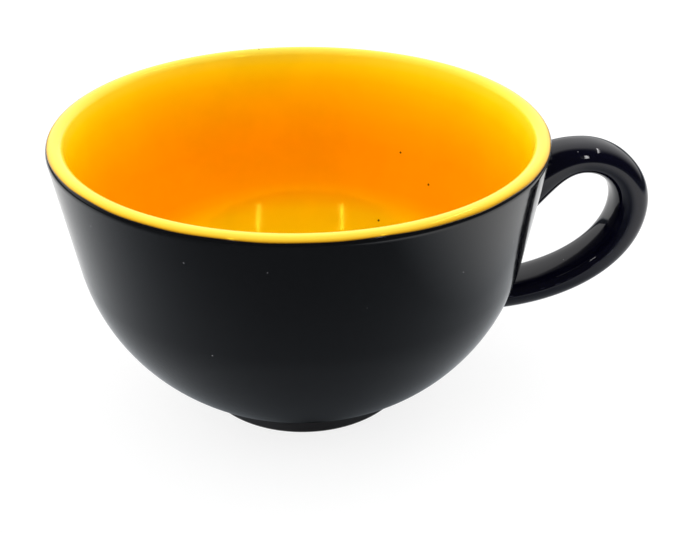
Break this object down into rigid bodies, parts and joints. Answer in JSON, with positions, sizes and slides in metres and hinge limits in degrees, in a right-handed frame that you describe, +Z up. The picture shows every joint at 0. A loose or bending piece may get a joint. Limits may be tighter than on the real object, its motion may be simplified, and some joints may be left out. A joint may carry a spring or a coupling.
{
  "type": "cappuccino cup",
  "caption": "Wide round-bellied stoneware cup on a foot ring with a pulled loop handle, yellow glaze inside and over the rim, black glaze outside.",
  "frame": {"origin": "centre of the foot ring on the table", "axes": "+Z up through the middle of the cup, +X out through the middle of the handle"},
  "size_m": [0.1372, 0.11, 0.067],
  "materials": {
    "stoneware": "bare fired stoneware, fine grit",
    "slip": "fired slip, fine and matt",
    "yellow_glaze": "glossy warm yellow glaze",
    "black_glaze": "glossy black glaze"
  },
  "bodies": {
    "root": {"bowl": "stoneware", "handle": "stoneware", "upper_slip_joint": "slip", "lower_slip_joint": "slip", "inside_glaze": "yellow_glaze", "outside_glaze": "black_glaze", "handle_glaze": "black_glaze", "foot_well_glaze": "black_glaze"}
  },
  "joints": []
}
